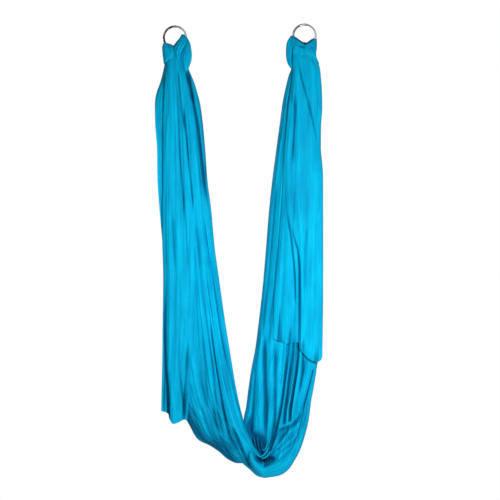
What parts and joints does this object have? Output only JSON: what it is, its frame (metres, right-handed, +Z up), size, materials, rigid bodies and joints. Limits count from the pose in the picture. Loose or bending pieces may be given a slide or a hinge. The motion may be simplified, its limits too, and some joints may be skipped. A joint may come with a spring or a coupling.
{
  "type": "aerial hammock",
  "caption": "Long blue knit cloth gathered and knotted on two steel rings, hanging as a narrow sling with a pouch and two loose tails.",
  "frame": {"origin": "hang point of the left ring: the inside of the top of its bar, where a connector bears", "axes": "+Z up; +X from the left ring to the right ring; the tails hang on the -Y side, which faces the viewer"},
  "size_m": [0.6036, 0.1589, 1.6334],
  "materials": {
    "cloth": "matt knit with a faint sheen",
    "ring": "polished"
  },
  "bodies": {
    "left_knot": {"left_knot": "cloth"},
    "left_ring": {"left_ring": "ring"},
    "sling": {"left_limb": "cloth", "right_limb": "cloth", "seat": "cloth"},
    "left_tail": {"left_tail": "cloth"},
    "right_tail": {"right_tail": "cloth"},
    "right_knot": {"right_knot": "cloth"},
    "right_ring": {"right_ring": "ring"}
  },
  "joints": [
    {"name": "left_ring_turn", "type": "hinge", "parent": "left_knot", "child": "left_ring", "pos_m": [0, 0, -0.036], "axis": [0, 1, 0], "continuous": true},
    {"name": "sling_swing", "type": "hinge", "parent": "left_knot", "child": "sling", "pos_m": [0, 0, -0.109], "axis": [-1, 0, 0], "range_deg": [-20, 20]},
    {"name": "right_knot_level", "type": "hinge", "parent": "sling", "child": "right_knot", "pos_m": [0.466, 0, -0.109], "axis": [-1, 0, 0], "range_deg": [-20, 20]},
    {"name": "right_ring_turn", "type": "hinge", "parent": "right_knot", "child": "right_ring", "pos_m": [0.466, 0, -0.029], "axis": [0, 1, 0], "continuous": true},
    {"name": "left_tail_lift", "type": "hinge", "parent": "sling", "child": "left_tail", "pos_m": [0, -0.0495, -0.139], "axis": [-1, 0, 0], "range_deg": [0, 60]},
    {"name": "right_tail_lift", "type": "hinge", "parent": "sling", "child": "right_tail", "pos_m": [0.466, -0.0495, -0.139], "axis": [-1, 0, 0], "range_deg": [0, 60]}
  ],
  "couplings": [
    {"joint": "right_knot_level", "follows": "sling_swing", "ratio": -1}
  ]
}
